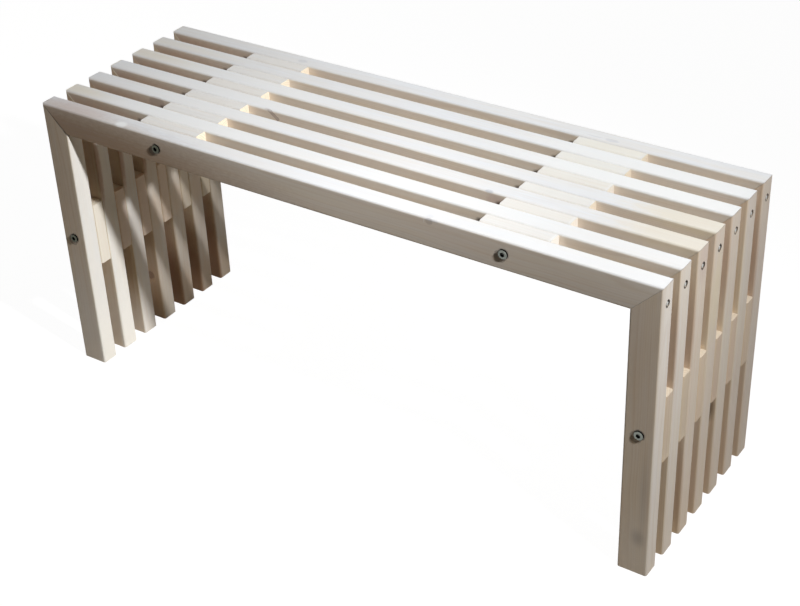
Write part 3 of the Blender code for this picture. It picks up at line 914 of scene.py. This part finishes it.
def steel_material(name, tint, roughness, metallic=1.0, side_tint=None, axis=None):
    """Plated steel, worn in patches. Round an axis along Y, its turned sides are tinted and knurled."""
    material, graph, shader = new_material(name)
    place = graph.add("ShaderNodeTexCoord").outputs["Object"]
    worn = graph.noise(place, STEEL_WEAR_GRAIN, FINE_DETAIL)
    fine = graph.noise(place, STEEL_FINE_GRAIN)
    dull = tuple(part * STEEL_DULL_SHARE for part in tint[:3]) + (1,)
    colour = graph.mix(graph.spread(worn, 0.0, 1.0), tint, dull)
    height = graph.math("MULTIPLY", fine, STEEL_FINE_RELIEF)
    if axis is not None:
        away = graph.split(graph.vector("SUBTRACT", place, axis))
        angle = graph.math("ARCTAN2", away["Z"], away["X"])
        turned = graph.math("MULTIPLY", angle, KNURL_RIDGES)
        rise = graph.math("MULTIPLY", away["Y"], KNURL_RISE)
        one_way = graph.math("SINE", graph.math("ADD", turned, rise))
        other_way = graph.math("SINE", graph.math("SUBTRACT", turned, rise))
        normal = graph.split(graph.add("ShaderNodeNewGeometry").outputs["True Normal"])
        on_side = graph.step(graph.math("ABSOLUTE", normal["Y"]), *KNURL_SIDE, 1.0, 0.0)
        knurl = graph.math("MULTIPLY", graph.math("MAXIMUM", one_way, other_way), on_side)
        height = graph.math("ADD", height, knurl)
        colour = graph.mix(on_side, colour, side_tint)
    graph.feed(shader.inputs["Base Color"], colour)
    rough = graph.spread(worn, roughness - STEEL_POLISH, roughness + STEEL_TARNISH)
    graph.feed(shader.inputs["Roughness"], rough)
    add_bump(graph, shader, height, STEEL_RELIEF_STRENGTH, STEEL_RELIEF_HEIGHT)
    shader.inputs["Metallic"].default_value = metallic
    return material


def loft(name, rings, sides):
    """A closed mesh through rings, each a radius for every angle and a height, with both ends capped."""
    shape = bmesh.new()
    loops = []
    for radius, height in rings:
        loop = []
        for i in range(sides):
            angle = 2 * math.pi * i / sides
            reach = radius(angle)
            loop.append(shape.verts.new((reach * math.cos(angle), reach * math.sin(angle), height)))
        loops.append(loop)
    for upper, lower in zip(loops, loops[1:]):
        for i in range(sides):
            j = (i + 1) % sides
            shape.faces.new((upper[j], upper[i], lower[i], lower[j]))
    for loop, top in ((loops[0], True), (loops[-1], False)):
        middle = shape.verts.new((0, 0, loop[0].co.z))
        for i in range(sides):
            corner = (loop[i], loop[(i + 1) % sides], middle)
            shape.faces.new(corner if top else corner[::-1])
    bmesh.ops.recalc_face_normals(shape, faces=shape.faces)
    mesh = bpy.data.meshes.new(name)
    shape.to_mesh(mesh)
    shape.free()
    mesh.shade_smooth()
    mesh.set_sharp_from_angle(angle=SHARP_ANGLE)
    return mesh


def screw_mesh():
    """A dome-headed wood screw with a star drive, its seat at height 0, its thread down along -Z."""

    def circle(radius):
        return lambda angle: radius

    def star(angle):
        return SCREW_DRIVE_RADIUS + SCREW_DRIVE_LOBE * math.cos(SCREW_DRIVE_LOBES * angle)

    top = SCREW_HEAD_HEIGHT
    plain_radius = SCREW_PLAIN_SHARE * SCREW_THREAD_RADIUS
    rings = [(star, top - SCREW_DRIVE_DEPTH), (star, top - SCREW_DOME[0][1])]
    rings += [(circle(SCREW_HEAD_RADIUS * share), top - depth) for share, depth in SCREW_DOME]
    rings += [
        (circle(SCREW_HEAD_RADIUS), SCREW_HEAD_CHAMFER),
        (circle(SCREW_HEAD_RADIUS * SCREW_SEAT_SHARE), 0.0),
        (circle(SCREW_THREAD_RADIUS), 0.0),
        (circle(plain_radius), -SCREW_NECK_LENGTH),
        (circle(plain_radius), -SCREW_PLAIN_LENGTH),
    ]
    turn_step = SCREW_THREAD_PITCH / SCREW_STEPS_PER_TURN
    steps = round((SCREW_LENGTH - SCREW_PLAIN_LENGTH) / turn_step)
    for i in range(1, steps + 1):
        depth = SCREW_PLAIN_LENGTH + i * turn_step
        taper = min(1.0, (SCREW_LENGTH + turn_step - depth) / SCREW_TIP_LENGTH)

        def thread(angle, depth=depth, taper=taper):
            phase = (depth / SCREW_THREAD_PITCH + angle / (2 * math.pi)) % 1.0
            ridge = max(0.0, 1.0 - abs(phase - 0.5) / SCREW_RIDGE_SHARE)
            return taper * (SCREW_CORE_RADIUS + ridge * (SCREW_THREAD_RADIUS - SCREW_CORE_RADIUS))

        rings.append((thread, -depth))
    return loft("corner_screw", rings, SCREW_SIDES)


def add_corner_screws(material):
    """The screws across the mitres, seated in the recesses of the legs' outer faces."""
    mesh = screw_mesh()
    mesh.materials.append(material)
    for side, sign in (("left", -1), ("right", 1)):
        outward = Matrix.Rotation(sign * math.pi / 2, 4, "Y")
        for number in range(1, FRAME_COUNT + 1):
            screw = bpy.data.objects.new(f"{side}_corner_screw_{number}", mesh)
            bpy.context.scene.collection.objects.link(screw)
            seat = screw_axis_point(f"{side}_leg_{number}", SCREW_RECESS_DEPTH)
            spin = Matrix.Rotation(SCREW_SPIN * number, 4, "Z")
            screw.matrix_world = Matrix.Translation(seat) @ outward @ spin
            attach(screw, "root")


def dress_timber():
    """Gives the boards their wood. They are numbered, and the fasteners aren't."""
    for name, node in NODES.items():
        if name[-1].isdigit():
            dress(node, board_material(Board(name)))


def dress_fasteners():
    """Gives the bolts, nuts and washers their steel, and adds the corner screws."""
    zinc = steel_material("zinc", ZINC, ZINC_ROUGHNESS)
    for name, node in NODES.items():
        if name.endswith(("nut", "washer")):
            dress(node, zinc)
        elif name.endswith("bolt"):
            low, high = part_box(name)
            axis = (low + high) / 2
            # Painted shade: bolts at the left end get the darker copy of the steel
            tint = BOLT_STEEL if axis.x > 0 else SHADED_BOLT_STEEL
            dress(node, steel_material(name + "_steel", tint, BOLT_ROUGHNESS, side_tint=BOLT_SIDE, axis=axis))
    add_corner_screws(steel_material("dull_zinc", DULL_ZINC, DULL_ZINC_ROUGHNESS, DULL_ZINC_METALLIC))


def aim(thing, place, target):
    """Puts a lamp at a place, pointing at a target."""
    thing.location = place
    thing.rotation_euler = (target - place).to_track_quat("-Z", "Y").to_euler()


def add_lamp(name, kind, place, target, power, colour, **settings):
    """A lamp at a place, pointing at a target."""
    lamp = bpy.data.lights.new(name, kind)
    lamp.energy = power
    lamp.color = colour
    for setting, value in settings.items():
        setattr(lamp, setting, value)
    thing = bpy.data.objects.new(name, lamp)
    bpy.context.scene.collection.objects.link(thing)
    aim(thing, place, target)


def seen_directly(graph):
    """1 for the rays that show a background: from the camera, or by way of a glossy or clear surface."""
    path = graph.add("ShaderNodeLightPath").outputs
    seen = graph.math("MAXIMUM", path["Is Camera Ray"], path["Is Glossy Ray"])
    return graph.math("MAXIMUM", seen, path["Is Transmission Ray"])


def add_floor():
    """A white floor that shows the bench's shadow faintly."""
    bpy.ops.mesh.primitive_plane_add(size=FLOOR_SIZE)
    floor = bpy.context.object
    floor.name = "studio_floor"
    material = bpy.data.materials.new("studio_floor")
    material.use_nodes = True
    material.node_tree.nodes.clear()
    graph = Graph(material.node_tree)
    matt = graph.add("ShaderNodeBsdfDiffuse")
    matt.inputs["Color"].default_value = FLOOR_COLOUR
    glow = graph.add("ShaderNodeEmission")
    glow.inputs["Strength"].default_value = FLOOR_GLOW
    faint = graph.add("ShaderNodeBsdfDiffuse")
    faint.inputs["Color"].default_value = (FLOOR_SHARE_OF_LIGHT,) * 3 + (1,)
    white = graph.add("ShaderNodeAddShader")
    graph.feed(white.inputs[0], glow.outputs[0])
    graph.feed(white.inputs[1], faint.outputs[0])
    choice = graph.add("ShaderNodeMixShader")
    graph.feed(choice.inputs["Fac"], seen_directly(graph))
    graph.feed(choice.inputs[1], matt.outputs[0])
    graph.feed(choice.inputs[2], white.outputs[0])
    output = graph.add("ShaderNodeOutputMaterial")
    graph.feed(output.inputs["Surface"], choice.outputs[0])
    floor.data.materials.append(material)


def add_world():
    """A dim warm fill on the bench, and a white background behind it."""
    world = bpy.data.worlds.new("studio")
    bpy.context.scene.world = world
    world.use_nodes = True
    world.node_tree.nodes.clear()
    graph = Graph(world.node_tree)
    fill = graph.add("ShaderNodeBackground")
    fill.inputs["Color"].default_value = FILL_COLOUR
    fill.inputs["Strength"].default_value = FILL_STRENGTH
    backdrop = graph.add("ShaderNodeBackground")
    backdrop.inputs["Color"].default_value = BACKDROP_COLOUR
    choice = graph.add("ShaderNodeMixShader")
    graph.feed(choice.inputs["Fac"], seen_directly(graph))
    graph.feed(choice.inputs[1], fill.outputs[0])
    graph.feed(choice.inputs[2], backdrop.outputs[0])
    graph.feed(graph.add("ShaderNodeOutputWorld").inputs["Surface"], choice.outputs[0])


def add_lights():
    """A hard key of several beams from the right, a strip softbox, a top light and two weak fills."""
    for name, target, spread, power in KEY_BEAMS:
        add_lamp(name, "SPOT", KEY_PLACE, target, power, KEY_COLOUR,
                 spot_size=spread, spot_blend=KEY_BLEND, shadow_soft_size=KEY_RADIUS)
    add_lamp("softbox", "AREA", SOFTBOX_PLACE, SOFTBOX_TARGET, SOFTBOX_POWER, SOFTBOX_COLOUR,
             shape="RECTANGLE", size=SOFTBOX_LENGTH, size_y=SOFTBOX_WIDTH)
    add_lamp("top_light", "AREA", TOP_LIGHT_PLACE, TOP_LIGHT_TARGET, TOP_LIGHT_POWER, TOP_LIGHT_COLOUR,
             size=TOP_LIGHT_SIZE)
    add_lamp("side_fill", "AREA", SIDE_FILL_PLACE, SIDE_FILL_TARGET, SIDE_FILL_POWER, SIDE_FILL_COLOUR,
             size=SIDE_FILL_SIZE)
    add_lamp("back_fill", "AREA", BACK_FILL_PLACE, BACK_FILL_TARGET, BACK_FILL_POWER, BACK_FILL_COLOUR,
             size=BACK_FILL_SIZE)


def add_camera():
    """The photograph's view: a camera at an azimuth and elevation, rolled a little."""
    camera = bpy.data.cameras.new("camera")
    camera.sensor_width = SENSOR_WIDTH
    camera.lens = FOCAL_LENGTH_PIXELS * SENSOR_WIDTH / IMAGE_WIDTH
    thing = bpy.data.objects.new("camera", camera)
    bpy.context.scene.collection.objects.link(thing)
    forward = Vector((-math.sin(CAMERA_AZIMUTH) * math.cos(CAMERA_ELEVATION),
                      math.cos(CAMERA_AZIMUTH) * math.cos(CAMERA_ELEVATION),
                      -math.sin(CAMERA_ELEVATION)))
    level = forward.to_track_quat("-Z", "Y").to_matrix().to_4x4()
    place = Matrix.Translation(CAMERA_TARGET - CAMERA_DISTANCE * forward)
    thing.matrix_world = place @ level @ Matrix.Rotation(CAMERA_ROLL, 4, "Z")
    bpy.context.scene.camera = thing


dress_timber()
dress_fasteners()
add_floor()
add_world()
add_lights()
add_camera()
bpy.context.scene.view_settings.view_transform = "Standard"
